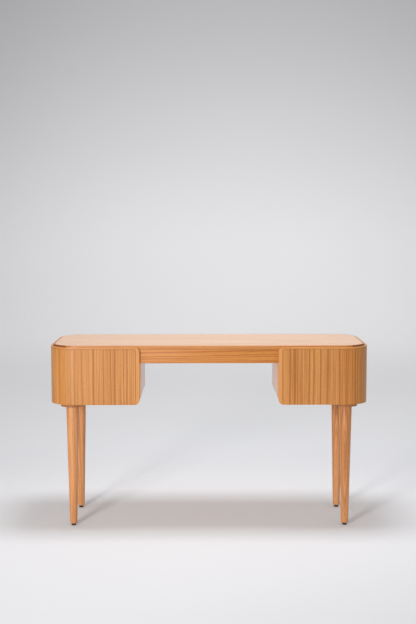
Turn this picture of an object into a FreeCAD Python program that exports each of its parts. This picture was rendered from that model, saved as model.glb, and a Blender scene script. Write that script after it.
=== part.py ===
import FreeCAD, Part
import math
import os

# Sewing table with two hanging pedestals.
# Millimetres. Origin on the floor under the middle of the table, +Z up, +X to the right, front towards -Y.
# Every pedestal piece is made for the left side (-X) and mirrored for the right one.

V = FreeCAD.Vector
NEAR = 0.01

# ---- overall size ----
WIDTH = 1300.0
DEPTH = 450.0
HEIGHT = 760.0
FRONT_Y = -DEPTH / 2
BACK_Y = DEPTH / 2
OUTER_X = -WIDTH / 2

# ---- bent drawer shell ----
SHELL_THICKNESS = 9.0
SHELL_BEND_RADIUS = 100.0
SHELL_KNEE_X = -281.5
SHELL_REAR_Y = 184.0
SHELL_BOTTOM_Z = 519.0
SHELL_TOP_Z = 754.5
SHELL_KNEE_CORNER = 20.0
SHELL_REAR_CORNER = 8.0
SHELL_EDGE_ROUND = 2.5
SHELL_INNER_X = OUTER_X + SHELL_THICKNESS
SHELL_INNER_Y = FRONT_Y + SHELL_THICKNESS
BEND_X = OUTER_X + SHELL_BEND_RADIUS
BEND_Y = FRONT_Y + SHELL_BEND_RADIUS
BEND_INNER_RADIUS = SHELL_BEND_RADIUS - SHELL_THICKNESS

# ---- solid lippings round the shell ----
LIP_TOP = 7.0
LIP_BOTTOM = 8.0
LIP_KNEE = 15.0
LIP_REAR = 10.0
LIP_CORNER = 9.0
LIP_JOINT = 0.6

# ---- table top ----
TOP_THICKNESS = 16.0
TOP_GAP = 1.0
TOP_FRONT_CORNER = 105.0
TOP_BACK_CORNER = 90.0
TOP_EDGE_ROUND = 2.0
TOP_UNDER_Z = HEIGHT - TOP_THICKNESS
TOP_FRONT_Y = SHELL_INNER_Y + TOP_GAP
TOP_LEFT_X = SHELL_INNER_X + TOP_GAP

# ---- fixed case of a pedestal ----
CASE_KNEE_X = -280.5
CASE_INNER_THICKNESS = 16.0
CASE_OUTER_X = -637.0
CASE_OUTER_THICKNESS = 12.0
CASE_FRONT_Y = -214.0
CASE_OUTER_FRONT_Y = -135.0
CASE_REAR_Y = 182.0
CASE_BOTTOM_Z = 541.0
CASE_BOTTOM_THICKNESS = 12.0
CASE_BACK_THICKNESS = 8.0
CASE_BACK_INSET = 2.0
CASE_BOTTOM_SHELL_GAP = 3.0
CAVITY_KNEE_X = CASE_KNEE_X - CASE_INNER_THICKNESS
CAVITY_OUTER_X = CASE_OUTER_X + CASE_OUTER_THICKNESS
CASE_BACK_Y = CASE_REAR_Y - CASE_BACK_INSET - CASE_BACK_THICKNESS
CASE_FLOOR_Z = CASE_BOTTOM_Z + CASE_BOTTOM_THICKNESS

# ---- aprons over the knee space ----
APRON_BOTTOM_Z = 688.0
APRON_THICKNESS = 18.0
APRON_FRONT_Y = TOP_FRONT_Y + 0.5
APRON_EDGE_ROUND = 3.0
GLUE_BLOCK = 20.0
GLUE_BLOCK_LENGTH = 60.0
GLUE_BLOCK_SPACING = 180.0
DOWEL_RADIUS = 4.0
DOWEL_IN_CASE = 10.0
DOWEL_IN_APRON = 20.0
DOWEL_Z = (702.0, 730.0)

# ---- cleats under the top ----
CLEAT = 20.0
CLEAT_FRONT_Y = -130.0
CLEAT_REAR_Y = 168.0
CLEAT_SCREW_Y = (-100.0, 20.0, 140.0)

# ---- drawer box ----
DRAWER_PLAY = 2.0
DRAWER_SIDE_THICKNESS = 14.0
DRAWER_BOTTOM_Z = 556.0
DRAWER_TOP_Z = 722.0
DRAWER_REAR_Y = 160.0
DRAWER_BACK_THICKNESS = 12.0
DRAWER_PANEL_Z = 563.0
DRAWER_PANEL_THICKNESS = 5.0
DRAWER_PANEL_GROOVE = 4.0
DRAWER_PANEL_GAP = 0.5
DRAWER_SIDE_GAP = 0.1
BATTEN_LEFT_X = -530.0
BATTEN_RIGHT_X = -330.0
BATTEN_BOTTOM_Z = 555.0
BATTEN_DEPTH = 12.0
DRAWER_KNEE_X = CAVITY_KNEE_X - DRAWER_PLAY
DRAWER_OUTER_X = CAVITY_OUTER_X + DRAWER_PLAY
DRAWER_INSIDE_KNEE_X = DRAWER_KNEE_X - DRAWER_SIDE_THICKNESS
DRAWER_INSIDE_OUTER_X = DRAWER_OUTER_X + DRAWER_SIDE_THICKNESS

# ---- runners that carry the drawer in grooves of its sides ----
RUNNER_Z = 640.0
RUNNER_HEIGHT = 12.0
RUNNER_REACH = 9.0
RUNNER_PLAY = 0.5
RUNNER_REAR_Y = 150.0
RUNNER_KNEE_FRONT_Y = -195.0
RUNNER_OUTER_FRONT_Y = -133.0
GROOVE_LEAD = 6.0
RUNNER_SCREW_FRACTIONS = (0.12, 0.5, 0.88)

# ---- rail and legs ----
LEG_X = -564.0
LEG_FRONT_Y = -136.0
LEG_REAR_Y = 149.0
LEG_TOP_RADIUS = 25.5
LEG_FOOT_RADIUS = 15.0
LEG_TOP_ROUND = 1.5
LEG_FOOT_ROUND = 4.0
RAIL_WIDTH = 95.0
RAIL_THICKNESS = 38.0
RAIL_EDGE_ROUND = 4.0
RAIL_SCREW_Y = (-70.0, -10.0, 50.0, 100.0)
RAIL_BOTTOM_Z = CASE_BOTTOM_Z - RAIL_THICKNESS
GLIDE_HEIGHT = 9.0
GLIDE_RADIUS = 9.5
GLIDE_ROUND = 3.0
GLIDE_PIN_RADIUS = 1.5
GLIDE_PIN_LENGTH = 18.0
BOLT_RADIUS = 4.0
BOLT_IN_LEG = 40.0
BOLT_IN_RAIL = 28.0

# ---- countersunk wood screws ----
SCREW_HEAD_RADIUS = 4.0
SCREW_SHANK_RADIUS = 2.0
SCREW_TIP = 3.0
TOP_SCREW_LENGTH = 30.0
RUNNER_SCREW_LENGTH = 17.0
RAIL_SCREW_LENGTH = 34.0
PANEL_SCREW_LENGTH = 20.0
PANEL_SCREW_INSET = 40.0


def box(low, high):
    """Box between two corners."""
    size = V(*high) - V(*low)
    return Part.makeBox(size.x, size.y, size.z, V(*low))


def prism(edges, travel):
    """Closed outline swept along a vector."""
    return Part.Face(Part.Wire(edges)).extrude(travel)


def line(a, b):
    return Part.LineSegment(V(*a), V(*b)).toShape()


def arc(a, middle, b):
    return Part.Arc(V(*a), V(*middle), V(*b)).toShape()


def mirrored(shape):
    """The right-hand twin of a left-hand piece."""
    return shape.mirror(V(0, 0, 0), V(1, 0, 0))


def save(shape, name):
    shape.exportStep("parts/" + name + ".step")


def save_pair(shape, name):
    save(shape, "left_" + name)
    save(mirrored(shape), "right_" + name)


def rounded_rectangle(low, high, radii, z):
    """Edges of a plan rectangle; radii run front-left, front-right, back-right, back-left."""
    x0, y0 = low
    x1, y1 = high
    corners = (
        (x0, y0, 1, 1, radii[0]),
        (x1, y0, -1, 1, radii[1]),
        (x1, y1, -1, -1, radii[2]),
        (x0, y1, 1, -1, radii[3]),
    )
    bow = 1 - math.sqrt(0.5)
    edges = []
    previous = None
    first = None
    for index, (x, y, sx, sy, r) in enumerate(corners):
        along_y = (x, y + sy * r, z)
        along_x = (x + sx * r, y, z)
        middle = (x + sx * r * bow, y + sy * r * bow, z)
        start, end = (along_y, along_x) if index % 2 == 0 else (along_x, along_y)
        if previous is not None:
            edges.append(line(previous, start))
        edges.append(arc(start, middle, end))
        if first is None:
            first = start
        previous = end
    edges.append(line(previous, first))
    return edges


def revolve(points):
    """Solid turned about Z from (radius, height) points that start and end on the axis."""
    edges = [line((a[0], 0, a[1]), (b[0], 0, b[1])) for a, b in zip(points, points[1:])]
    edges.append(line((points[-1][0], 0, points[-1][1]), (points[0][0], 0, points[0][1])))
    return Part.Face(Part.Wire(edges)).revolve(V(0, 0, 0), V(0, 0, 1), 360)


def screw(length, position, direction):
    """Countersunk screw: flat head at position, shank running along direction."""
    neck = SCREW_HEAD_RADIUS - SCREW_SHANK_RADIUS
    profile = [
        (0, 0),
        (SCREW_HEAD_RADIUS, 0),
        (SCREW_SHANK_RADIUS, neck),
        (SCREW_SHANK_RADIUS, length - SCREW_TIP),
        (0, length),
    ]
    shape = revolve(profile)
    turn = FreeCAD.Rotation(V(0, 0, 1), V(*direction))
    return shape.transformGeometry(FreeCAD.Placement(V(*position), turn).toMatrix())


def drilled(shape, tools):
    """Shape with the room for its fasteners taken out."""
    for tool in tools:
        shape = shape.cut(tool)
    return shape


# ---------------------------------------------------------------- table top and aprons


def table_top(screws):
    low = (TOP_LEFT_X, TOP_FRONT_Y)
    high = (-TOP_LEFT_X, BACK_Y)
    radii = (TOP_FRONT_CORNER, TOP_FRONT_CORNER, TOP_BACK_CORNER, TOP_BACK_CORNER)
    slab = prism(rounded_rectangle(low, high, radii, TOP_UNDER_Z), V(0, 0, TOP_THICKNESS))
    rims = [edge for edge in slab.Edges if edge.BoundBox.ZLength < NEAR]
    return drilled(slab.makeFillet(TOP_EDGE_ROUND, rims), screws)


def apron(front_y, dowels):
    high = (-CASE_KNEE_X, front_y + APRON_THICKNESS, TOP_UNDER_Z)
    body = box((CASE_KNEE_X, front_y, APRON_BOTTOM_Z), high)
    low_edges = []
    for edge in body.Edges:
        bounds = edge.BoundBox
        if bounds.ZMax < APRON_BOTTOM_Z + NEAR and bounds.YLength < NEAR:
            low_edges.append(edge)
    return drilled(body.makeFillet(APRON_EDGE_ROUND, low_edges), dowels)


def glue_blocks():
    """Square blocks in the corner between the top and the two aprons."""
    blocks = []
    for y in (APRON_FRONT_Y + APRON_THICKNESS, CASE_REAR_Y - APRON_THICKNESS - GLUE_BLOCK):
        for step in (-1, 0, 1):
            x = step * GLUE_BLOCK_SPACING - GLUE_BLOCK_LENGTH / 2
            low = (x, y, TOP_UNDER_Z - GLUE_BLOCK)
            high = (x + GLUE_BLOCK_LENGTH, y + GLUE_BLOCK, TOP_UNDER_Z)
            blocks.append(box(low, high))
    return blocks


def apron_dowels():
    """Left-hand dowels, two in each end of both aprons."""
    dowels = []
    for y in (APRON_FRONT_Y + APRON_THICKNESS / 2, CASE_REAR_Y - APRON_THICKNESS / 2):
        for z in DOWEL_Z:
            start = V(CASE_KNEE_X - DOWEL_IN_CASE, y, z)
            length = DOWEL_IN_CASE + DOWEL_IN_APRON
            dowels.append(Part.makeCylinder(DOWEL_RADIUS, length, start, V(1, 0, 0)))
    return dowels


# ---------------------------------------------------------------- fixed case


def bend_outline(offset, z, knee_x, outer_x, rear_y):
    """Plan outline that follows the inside of the shell at an offset, cut off at outer_x."""
    radius = BEND_INNER_RADIUS - offset
    front = BEND_Y - radius
    angle_end = math.acos((outer_x - BEND_X) / radius)
    angle_mid = (math.pi / 2 + angle_end) / 2

    def on_bend(angle):
        return (BEND_X + radius * math.cos(angle), BEND_Y - radius * math.sin(angle), z)

    return [
        line((knee_x, rear_y, z), (knee_x, front, z)),
        line((knee_x, front, z), (BEND_X, front, z)),
        arc((BEND_X, front, z), on_bend(angle_mid), on_bend(angle_end)),
        line(on_bend(angle_end), (outer_x, rear_y, z)),
        line((outer_x, rear_y, z), (knee_x, rear_y, z)),
    ]


def case_inner_side(tools):
    low = (CAVITY_KNEE_X, CASE_FRONT_Y, CASE_BOTTOM_Z)
    return drilled(box(low, (CASE_KNEE_X, CASE_REAR_Y, TOP_UNDER_Z)), tools)


def case_outer_side(tools):
    low = (CASE_OUTER_X, CASE_OUTER_FRONT_Y, CASE_BOTTOM_Z)
    return drilled(box(low, (CAVITY_OUTER_X, CASE_REAR_Y, TOP_UNDER_Z)), tools)


def case_back():
    high = (CAVITY_KNEE_X, CASE_BACK_Y + CASE_BACK_THICKNESS, TOP_UNDER_Z)
    return box((CAVITY_OUTER_X, CASE_BACK_Y, CASE_BOTTOM_Z), high)


def case_bottom(tools):
    plan = (CAVITY_KNEE_X, CAVITY_OUTER_X, CASE_BACK_Y)
    outline = bend_outline(CASE_BOTTOM_SHELL_GAP, CASE_BOTTOM_Z, *plan)
    return drilled(prism(outline, V(0, 0, CASE_BOTTOM_THICKNESS)), tools)


def top_cleats(tools):
    """Two fixing strips under the top, which also keep the open drawer from tipping."""
    cleats = []
    for x in (CAVITY_KNEE_X - CLEAT, CAVITY_OUTER_X):
        strip = box((x, CLEAT_FRONT_Y, TOP_UNDER_Z - CLEAT), (x + CLEAT, CLEAT_REAR_Y, TOP_UNDER_Z))
        cleats.append(drilled(strip, tools))
    return cleats


def top_screws():
    screws = []
    for x in (CAVITY_KNEE_X - CLEAT / 2, CAVITY_OUTER_X + CLEAT / 2):
        for y in CLEAT_SCREW_Y:
            screws.append(screw(TOP_SCREW_LENGTH, (x, y, TOP_UNDER_Z - CLEAT), (0, 0, 1)))
    return screws


# ---------------------------------------------------------------- drawer runners


def runner_ends():
    """Wall face, direction into the wall and front end of the two runners."""
    return ((CAVITY_KNEE_X, 1, RUNNER_KNEE_FRONT_Y), (CAVITY_OUTER_X, -1, RUNNER_OUTER_FRONT_Y))


def runner_screws():
    screws = []
    for wall, into, front in runner_ends():
        for fraction in RUNNER_SCREW_FRACTIONS:
            y = front + fraction * (RUNNER_REAR_Y - front)
            head = (wall - into * RUNNER_REACH, y, RUNNER_Z)
            screws.append(screw(RUNNER_SCREW_LENGTH, head, (into, 0, 0)))
    return screws


def runners(tools):
    strips = []
    for wall, into, front in runner_ends():
        x = sorted((wall, wall - into * RUNNER_REACH))
        low = (x[0], front, RUNNER_Z - RUNNER_HEIGHT / 2)
        high = (x[1], RUNNER_REAR_Y, RUNNER_Z + RUNNER_HEIGHT / 2)
        strips.append(drilled(box(low, high), tools))
    return strips


# ---------------------------------------------------------------- rail, legs and glides


def leg_places():
    return (("front", LEG_FRONT_Y), ("rear", LEG_REAR_Y))


def leg_rail(tools):
    """Board with half-round ends under the case; the legs screw into it."""
    low = (LEG_X - RAIL_WIDTH / 2, LEG_FRONT_Y - RAIL_WIDTH / 2)
    high = (LEG_X + RAIL_WIDTH / 2, LEG_REAR_Y + RAIL_WIDTH / 2)
    radii = [RAIL_WIDTH / 2 - NEAR] * 4
    board = prism(rounded_rectangle(low, high, radii, RAIL_BOTTOM_Z), V(0, 0, RAIL_THICKNESS))
    rims = [edge for edge in board.Edges if edge.BoundBox.ZMax < RAIL_BOTTOM_Z + NEAR]
    return drilled(board.makeFillet(RAIL_EDGE_ROUND, rims), tools)


def rail_screws():
    return [screw(RAIL_SCREW_LENGTH, (LEG_X, y, CASE_FLOOR_Z), (0, 0, -1)) for y in RAIL_SCREW_Y]


def leg_bolt(y):
    start = V(LEG_X, y, RAIL_BOTTOM_Z - BOLT_IN_LEG)
    return Part.makeCylinder(BOLT_RADIUS, BOLT_IN_LEG + BOLT_IN_RAIL, start)


def glide(y):
    """Button under the leg with its driving pin."""
    button = Part.makeCylinder(GLIDE_RADIUS, GLIDE_HEIGHT)
    low_rim = [edge for edge in button.Edges if edge.BoundBox.ZMax < NEAR]
    button = button.makeFillet(GLIDE_ROUND, low_rim)
    pin = Part.makeCylinder(GLIDE_PIN_RADIUS, GLIDE_PIN_LENGTH, V(0, 0, GLIDE_HEIGHT))
    whole = button.fuse(pin).removeSplitter()
    whole.translate(V(LEG_X, y, 0))
    return whole


def leg(y, tools):
    """Round leg that tapers evenly to its foot."""
    height = RAIL_BOTTOM_Z - GLIDE_HEIGHT
    cone = Part.makeCone(LEG_FOOT_RADIUS, LEG_TOP_RADIUS, height, V(LEG_X, y, GLIDE_HEIGHT))
    foot_rim = [edge for edge in cone.Edges if edge.BoundBox.ZMax < GLIDE_HEIGHT + NEAR]
    cone = cone.makeFillet(LEG_FOOT_ROUND, foot_rim)
    top_rim = [edge for edge in cone.Edges if edge.BoundBox.ZMin > RAIL_BOTTOM_Z - NEAR]
    cone = cone.makeFillet(LEG_TOP_ROUND, top_rim)
    return drilled(cone, tools)


# ---------------------------------------------------------------- bent shell and its lippings


def shell_plan():
    """Bent panel seen from above, extruded to its full height."""
    z = SHELL_BOTTOM_Z
    bow = math.sqrt(0.5)

    def on_bend(radius):
        return (BEND_X - radius * bow, BEND_Y - radius * bow, z)

    outline = [
        line((SHELL_KNEE_X, FRONT_Y, z), (BEND_X, FRONT_Y, z)),
        arc((BEND_X, FRONT_Y, z), on_bend(SHELL_BEND_RADIUS), (OUTER_X, BEND_Y, z)),
        line((OUTER_X, BEND_Y, z), (OUTER_X, SHELL_REAR_Y, z)),
        line((OUTER_X, SHELL_REAR_Y, z), (SHELL_INNER_X, SHELL_REAR_Y, z)),
        line((SHELL_INNER_X, SHELL_REAR_Y, z), (SHELL_INNER_X, BEND_Y, z)),
        arc((SHELL_INNER_X, BEND_Y, z), on_bend(BEND_INNER_RADIUS), (BEND_X, SHELL_INNER_Y, z)),
        line((BEND_X, SHELL_INNER_Y, z), (SHELL_KNEE_X, SHELL_INNER_Y, z)),
        line((SHELL_KNEE_X, SHELL_INNER_Y, z), (SHELL_KNEE_X, FRONT_Y, z)),
    ]
    return prism(outline, V(0, 0, SHELL_TOP_Z - SHELL_BOTTOM_Z))


def end_window(end, far, low, high, radius):
    """Edges (u, z) of a window that runs from far to end, with both corners at end rounded."""
    sign = 1 if end > far else -1
    bow = radius * (1 - math.sqrt(0.5))
    inner = end - sign * radius
    return (
        ("line", (far, low), (inner, low)),
        ("arc", (inner, low), (end - sign * bow, low + bow), (end, low + radius)),
        ("line", (end, low + radius), (end, high - radius)),
        ("arc", (end, high - radius), (end - sign * bow, high - bow), (inner, high)),
        ("line", (inner, high), (far, high)),
        ("line", (far, high), (far, low)),
    )


def panel_window(knee_inset, rear_inset, low_inset, top_inset, knee_radius, rear_radius):
    """Space that keeps the bent panel inside rounded ends at the given insets."""
    reach = 20.0
    low = SHELL_BOTTOM_Z + low_inset
    high = SHELL_TOP_Z - top_inset

    def edges(pieces, place):
        made = []
        for kind, *points in pieces:
            placed = [place(*point) for point in points]
            made.append(line(*placed) if kind == "line" else arc(*placed))
        return made

    knee = end_window(SHELL_KNEE_X - knee_inset, OUTER_X - reach, low, high, knee_radius)
    along_y = prism(edges(knee, lambda u, z: (u, FRONT_Y - reach, z)), V(0, DEPTH + 2 * reach, 0))
    rear = end_window(SHELL_REAR_Y - rear_inset, FRONT_Y - reach, low, high, rear_radius)
    along_x = prism(edges(rear, lambda u, z: (OUTER_X - reach, u, z)), V(WIDTH / 2, 0, 0))
    return along_y.common(along_x)


def on_outer_face(point):
    """True on the shell's outer surface: its front, its bend or its side."""
    if point.x > BEND_X:
        return abs(point.y - FRONT_Y) < NEAR
    if point.y > BEND_Y:
        return abs(point.x - OUTER_X) < NEAR
    return abs(math.hypot(point.x - BEND_X, point.y - BEND_Y) - SHELL_BEND_RADIUS) < NEAR


def whole_shell():
    """Bent panel with rounded corners and softened outer rim."""
    window = panel_window(0, 0, 0, 0, SHELL_KNEE_CORNER, SHELL_REAR_CORNER)
    shell = shell_plan().common(window).Solids[0]
    rim = []
    for edge in shell.Edges:
        middle = edge.valueAt((edge.FirstParameter + edge.LastParameter) / 2)
        seam = min(abs(middle.x - BEND_X), abs(middle.y - BEND_Y)) < NEAR
        if on_outer_face(middle) and not seam:
            rim.append(edge)
    return shell.makeFillet(SHELL_EDGE_ROUND, rim)


def shell_core(shell):
    """Veneered field inside the lippings."""
    joint = LIP_JOINT
    window = panel_window(
        LIP_KNEE + joint, LIP_REAR + joint, LIP_BOTTOM + joint, LIP_TOP + joint,
        LIP_CORNER - joint, LIP_CORNER - joint,
    )
    return shell.common(window)


def lippings(shell):
    """Solid strips round the field: knee end, rear end, top and bottom."""
    window = panel_window(LIP_KNEE, LIP_REAR, LIP_BOTTOM, LIP_TOP, LIP_CORNER, LIP_CORNER)
    ring = shell.cut(window)
    middle_z = (SHELL_BOTTOM_Z + SHELL_TOP_Z) / 2
    far = WIDTH
    knee_side = box((SHELL_KNEE_X - LIP_KNEE, -far, 0), (far, far, HEIGHT))
    rear_side = box((-far, SHELL_REAR_Y - LIP_REAR, 0), (far, far, HEIGHT))
    upper = box((-far, -far, middle_z), (far, far, HEIGHT))
    between = ring.cut(knee_side).cut(rear_side)
    return {
        "knee_lipping": ring.common(knee_side),
        "rear_lipping": ring.common(rear_side),
        "top_lipping": between.common(upper),
        "bottom_lipping": between.cut(upper),
    }


# ---------------------------------------------------------------- drawer box


def drawer_groove(wall, into, front):
    """Room for one runner, open at the back of the drawer side."""
    reach = wall - into * (RUNNER_REACH + RUNNER_PLAY)
    x = sorted((wall, reach))
    half = RUNNER_HEIGHT / 2 + RUNNER_PLAY
    return box((x[0], front - GROOVE_LEAD, RUNNER_Z - half), (x[1], BACK_Y, RUNNER_Z + half))


def drawer_panel_outline(z):
    outer_x = DRAWER_INSIDE_OUTER_X - DRAWER_PANEL_GROOVE
    knee_x = DRAWER_INSIDE_KNEE_X + DRAWER_PANEL_GROOVE
    return bend_outline(DRAWER_PANEL_GAP, z, knee_x, outer_x, DRAWER_REAR_Y)


def panel_screws():
    """Screws up through the drawer bottom into the drawer back."""
    y = DRAWER_REAR_Y - DRAWER_BACK_THICKNESS / 2
    middle = (DRAWER_INSIDE_KNEE_X + DRAWER_INSIDE_OUTER_X) / 2
    inset = PANEL_SCREW_INSET
    places = (DRAWER_INSIDE_OUTER_X + inset, middle, DRAWER_INSIDE_KNEE_X - inset)
    return [screw(PANEL_SCREW_LENGTH, (x, y, DRAWER_PANEL_Z), (0, 0, 1)) for x in places]


def drawer_panel():
    """Thin bottom panel, whose edges fill grooves in the two drawer sides."""
    return prism(drawer_panel_outline(DRAWER_PANEL_Z), V(0, 0, DRAWER_PANEL_THICKNESS))


def drawer_bottom(tools):
    return drilled(drawer_panel(), tools)


def drawer_inner_side():
    low = (DRAWER_INSIDE_KNEE_X, SHELL_INNER_Y, DRAWER_BOTTOM_Z)
    side = box(low, (DRAWER_KNEE_X, DRAWER_REAR_Y, DRAWER_TOP_Z))
    wall, into, front = runner_ends()[0]
    return side.cut(drawer_groove(wall, into, front)).cut(drawer_panel())


def drawer_outer_side():
    """Outer side whose front end is cut to the bend of the shell."""
    low = (DRAWER_OUTER_X, FRONT_Y, DRAWER_BOTTOM_Z)
    side = box(low, (DRAWER_INSIDE_OUTER_X, DRAWER_REAR_Y, DRAWER_TOP_Z))
    plan = (CAVITY_KNEE_X, DRAWER_OUTER_X - DRAWER_PLAY, BACK_Y)
    outline = bend_outline(DRAWER_SIDE_GAP, DRAWER_BOTTOM_Z, *plan)
    inside = prism(outline, V(0, 0, DRAWER_TOP_Z - DRAWER_BOTTOM_Z))
    wall, into, front = runner_ends()[1]
    return side.common(inside).cut(drawer_groove(wall, into, front)).cut(drawer_panel())


def drawer_back(tools):
    front = DRAWER_REAR_Y - DRAWER_BACK_THICKNESS
    low = (DRAWER_INSIDE_OUTER_X, front, DRAWER_PANEL_Z + DRAWER_PANEL_THICKNESS)
    return drilled(box(low, (DRAWER_INSIDE_KNEE_X, DRAWER_REAR_Y, DRAWER_TOP_Z)), tools)


def drawer_batten():
    """Strip glued inside the shell under the front edge of the drawer bottom."""
    low = (BATTEN_LEFT_X, SHELL_INNER_Y, BATTEN_BOTTOM_Z)
    return box(low, (BATTEN_RIGHT_X, SHELL_INNER_Y + BATTEN_DEPTH, DRAWER_PANEL_Z))


# ---------------------------------------------------------------- assembly


def both_sides(shapes):
    return Part.makeCompound(shapes + [mirrored(shape) for shape in shapes])


def main():
    os.makedirs("parts", exist_ok=True)

    dowels = apron_dowels()
    into_top = top_screws()
    into_runners = runner_screws()
    into_rail = rail_screws()
    into_panel = panel_screws()
    bolts = [leg_bolt(y) for _, y in leg_places()]

    save(table_top(into_top + [mirrored(one) for one in into_top]), "table_top")
    all_dowels = dowels + [mirrored(one) for one in dowels]
    save(apron(APRON_FRONT_Y, all_dowels), "front_apron")
    save(apron(CASE_REAR_Y - APRON_THICKNESS, all_dowels), "rear_apron")
    save(Part.makeCompound(glue_blocks()), "apron_glue_blocks")
    save(both_sides(dowels), "apron_dowels")

    save_pair(case_inner_side(dowels + into_runners), "case_inner_side")
    save_pair(case_outer_side(into_runners), "case_outer_side")
    save_pair(case_back(), "case_back")
    save_pair(case_bottom(into_rail), "case_bottom")
    save_pair(Part.makeCompound(top_cleats(into_top)), "top_cleats")
    save_pair(Part.makeCompound(runners(into_runners)), "drawer_runners")
    save(both_sides(into_top), "top_screws")
    save(both_sides(into_runners), "runner_screws")
    save(both_sides(into_rail), "rail_screws")

    save_pair(leg_rail(into_rail + bolts), "leg_rail")
    save(both_sides(bolts), "leg_bolts")
    for (place, y), bolt in zip(leg_places(), bolts):
        foot = glide(y)
        save_pair(leg(y, [bolt, foot]), place + "_leg")
        save_pair(foot, place + "_glide")

    shell = whole_shell()
    save_pair(shell_core(shell), "drawer_shell")
    for name, strip in lippings(shell).items():
        save_pair(strip, name)
    save_pair(drawer_inner_side(), "drawer_inner_side")
    save_pair(drawer_outer_side(), "drawer_outer_side")
    save_pair(drawer_back(into_panel), "drawer_back")
    save_pair(drawer_bottom(into_panel), "drawer_bottom")
    save_pair(drawer_batten(), "drawer_batten")
    save_pair(Part.makeCompound(into_panel), "drawer_screws")


main()
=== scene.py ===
"""Looks of a two-pedestal sewing table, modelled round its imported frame.

Every piece is placed from the frame's own boxes, in metres, with +Z up and the drawer fronts facing -Y.
"""

import logging
import math
from dataclasses import dataclass, field, replace
from enum import Enum
from typing import Callable, Iterable, Optional

import bmesh
import bpy
import numpy as np
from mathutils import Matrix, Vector


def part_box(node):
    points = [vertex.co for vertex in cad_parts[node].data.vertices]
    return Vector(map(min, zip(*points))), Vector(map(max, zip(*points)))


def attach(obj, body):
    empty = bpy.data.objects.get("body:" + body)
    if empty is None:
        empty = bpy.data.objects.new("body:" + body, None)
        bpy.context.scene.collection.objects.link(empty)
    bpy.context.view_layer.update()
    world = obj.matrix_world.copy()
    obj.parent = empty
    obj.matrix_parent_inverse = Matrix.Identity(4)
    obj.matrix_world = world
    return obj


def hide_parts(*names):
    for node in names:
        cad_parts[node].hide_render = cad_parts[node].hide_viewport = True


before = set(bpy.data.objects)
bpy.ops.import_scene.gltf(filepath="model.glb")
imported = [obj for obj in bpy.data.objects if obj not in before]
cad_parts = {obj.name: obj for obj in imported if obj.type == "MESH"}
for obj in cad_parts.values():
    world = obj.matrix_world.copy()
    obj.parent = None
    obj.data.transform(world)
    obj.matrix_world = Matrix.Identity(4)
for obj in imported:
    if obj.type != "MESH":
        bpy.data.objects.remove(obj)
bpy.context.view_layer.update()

logging.basicConfig(level=logging.INFO, format="%(message)s")
LOG = logging.getLogger("sewing_table")

MM = 0.001
TOUCH = 0.1 * MM
HAIR = 0.01 * MM
GRAIN = "grain"
BODY = "table_frame"

Point = tuple[float, float, float]
Colour = tuple[float, float, float]
Test = Callable[[Vector, Vector], bool]

MADE: dict[str, bpy.types.Material] = {}


# ------------------------------------------------------------------ wood and other finishes


class GrainAxis(Enum):
    """Which way the grain runs in a piece, and where its pattern is read from."""

    ATTRIBUTE = "attribute"
    ALONG_X = "x"
    ALONG_Y = "y"
    ALONG_Z = "z"


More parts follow.
